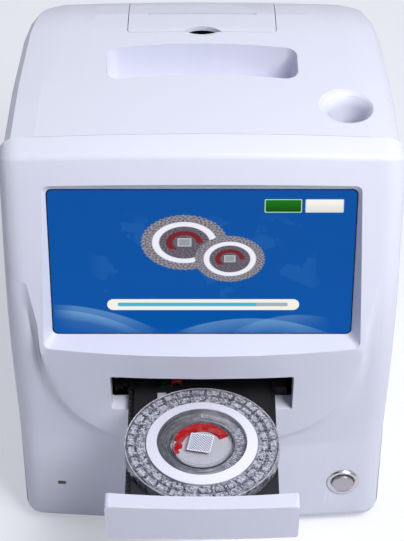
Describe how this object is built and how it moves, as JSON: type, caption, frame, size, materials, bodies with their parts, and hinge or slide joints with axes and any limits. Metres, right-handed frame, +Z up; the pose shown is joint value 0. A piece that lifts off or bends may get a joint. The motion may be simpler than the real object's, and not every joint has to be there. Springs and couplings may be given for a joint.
{
  "type": "benchtop chemistry analyzer",
  "caption": "Benchtop chemistry analyzer with a tilted touch screen over a motor-driven reagent disc drawer, a printer lid, a sample well and a handle recess on top.",
  "frame": {"origin": "on the table under the middle of the whole box, with the drawer open", "axes": "+X to the right as the user faces the screen, +Y to the back, +Z up"},
  "size_m": [0.2, 0.3, 0.2625],
  "materials": {
    "front_panel": "fine satin moulding",
    "rear_cover": "fine satin moulding",
    "well_liner": "fine satin moulding",
    "base_plate": "zinc plated sheet",
    "rubber_feet": "matt",
    "housing_screws": "machined",
    "touch_glass": "polished",
    "display_panel": "moulded",
    "display_bracket": "zinc plated sheet",
    "display_screws": "machined",
    "power_button_ring": "brushed",
    "power_button_nut": "brushed",
    "power_button_cap": "brushed",
    "indicator_lens": "smoked",
    "printer_lid": "fine satin moulding",
    "lid_hinge_pin": "machined",
    "paper_bay": "moulded",
    "printer_mechanism": "moulded",
    "platen_roller": "matt",
    "paper_roll": "paper",
    "drawer_front": "satin moulding",
    "drawer_tray": "moulded",
    "drawer_rack": "moulded",
    "drawer_rails": "moulded",
    "drive_pinion": "acetal",
    "drawer_motor": "machined",
    "disc_base": "clear",
    "disc_cover": "clear",
    "disc_ring_label": "paper",
    "disc_chamber": "clear",
    "disc_sample": "wet",
    "disc_code_label": "paper",
    "optical_bench": "anodised",
    "bench_posts": "nickelled",
    "chamber_cover": "moulded",
    "heater_plate": "anodised",
    "lamp_housing": "anodised",
    "lamp_lens": "polished",
    "detector_housing": "anodised",
    "detector_board": "solder mask",
    "spindle_chuck": "machined",
    "spindle_motor": "machined",
    "lift_carriage": "zinc plated sheet",
    "lift_rods": "machined",
    "lift_actuator": "machined",
    "lift_bracket": "zinc plated sheet",
    "mainboard": "solder mask",
    "board_spacers": "nickelled",
    "usb_ports": "plated",
    "lan_port": "plated",
    "serial_port": "plated",
    "power_supply": "plated",
    "power_inlet": "moulded",
    "fan_frame": "moulded",
    "fan_rotor": "moulded",
    "speaker": "moulded",
    "tray_board": "solder mask",
    "tray_wires": "insulation",
    "tray_clip": "zinc plated sheet"
  },
  "bodies": {
    "housing": {"front_panel": "front_panel", "rear_cover": "rear_cover", "well_liner": "well_liner", "base_plate": "base_plate", "rubber_feet": "rubber_feet", "housing_screws": "housing_screws", "touch_glass": "touch_glass", "display_panel": "display_panel", "display_bracket": "display_bracket", "display_screws": "display_screws", "power_button_ring": "power_button_ring", "power_button_nut": "power_button_nut", "indicator_lens": "indicator_lens", "lid_hinge_pin": "lid_hinge_pin", "paper_bay": "paper_bay", "printer_mechanism": "printer_mechanism", "drawer_rails": "drawer_rails", "drawer_motor": "drawer_motor", "optical_bench": "optical_bench", "bench_posts": "bench_posts", "chamber_cover": "chamber_cover", "heater_plate": "heater_plate", "lamp_housing": "lamp_housing", "lamp_lens": "lamp_lens", "detector_housing": "detector_housing", "detector_board": "detector_board", "lift_rods": "lift_rods", "lift_actuator": "lift_actuator", "lift_bracket": "lift_bracket", "mainboard": "mainboard", "board_spacers": "board_spacers", "usb_ports": "usb_ports", "lan_port": "lan_port", "serial_port": "serial_port", "power_supply": "power_supply", "power_inlet": "power_inlet", "fan_frame": "fan_frame", "speaker": "speaker"},
    "drawer": {"drawer_front": "drawer_front", "drawer_tray": "drawer_tray", "drawer_rack": "drawer_rack", "tray_board": "tray_board", "tray_wires": "tray_wires", "tray_clip": "tray_clip"},
    "disc": {"disc_base": "disc_base", "disc_cover": "disc_cover", "disc_ring_label": "disc_ring_label", "disc_chamber": "disc_chamber", "disc_sample": "disc_sample", "disc_code_label": "disc_code_label"},
    "pinion": {"drive_pinion": "drive_pinion"},
    "lid": {"printer_lid": "printer_lid"},
    "platen": {"platen_roller": "platen_roller"},
    "roll": {"paper_roll": "paper_roll"},
    "fan": {"fan_rotor": "fan_rotor"},
    "button": {"power_button_cap": "power_button_cap"},
    "lift": {"lift_carriage": "lift_carriage", "spindle_motor": "spindle_motor"},
    "spindle": {"spindle_chuck": "spindle_chuck"}
  },
  "joints": [
    {"name": "drawer_slide", "type": "slide", "parent": "housing", "child": "drawer", "axis": [0, 1, 0], "range_m": [0, 0.0887]},
    {"name": "disc_spin", "type": "hinge", "parent": "drawer", "child": "disc", "pos_m": [0, -0.09206, 0.1092], "axis": [0, 0, 1], "continuous": true},
    {"name": "pinion_spin", "type": "hinge", "parent": "housing", "child": "pinion", "pos_m": [-0.046, -0.03559, 0.1066], "axis": [0, 0, 1], "range_deg": [-10, 641]},
    {"name": "lid_hinge", "type": "hinge", "parent": "housing", "child": "lid", "pos_m": [0, 0.11964, 0.23861], "axis": [-1, 0, 0], "range_deg": [0, 80]},
    {"name": "platen_spin", "type": "hinge", "parent": "lid", "child": "platen", "pos_m": [0, 0.08651, 0.2436], "axis": [1, 0, 0], "continuous": true},
    {"name": "paper_roll_spin", "type": "hinge", "parent": "housing", "child": "roll", "pos_m": [0, 0.10201, 0.219], "axis": [1, 0, 0], "continuous": true},
    {"name": "fan_spin", "type": "hinge", "parent": "housing", "child": "fan", "pos_m": [0.035, 0.14002, 0.098], "axis": [0, 1, 0], "continuous": true},
    {"name": "power_button_press", "type": "slide", "parent": "housing", "child": "button", "axis": [0, 1, 0], "range_m": [0, 0.002], "stiffness_N_per_m": 400, "springref_m": -0.002},
    {"name": "lift_slide", "type": "slide", "parent": "housing", "child": "lift", "axis": [0, 0, 1], "range_m": [0, 0.0064]},
    {"name": "spindle_spin", "type": "hinge", "parent": "lift", "child": "spindle", "pos_m": [0, -0.00336, 0.098], "axis": [0, 0, 1], "continuous": true}
  ],
  "couplings": [
    {"joint": "pinion_spin", "follows": "drawer_slide", "rad_per_m": 125}
  ]
}
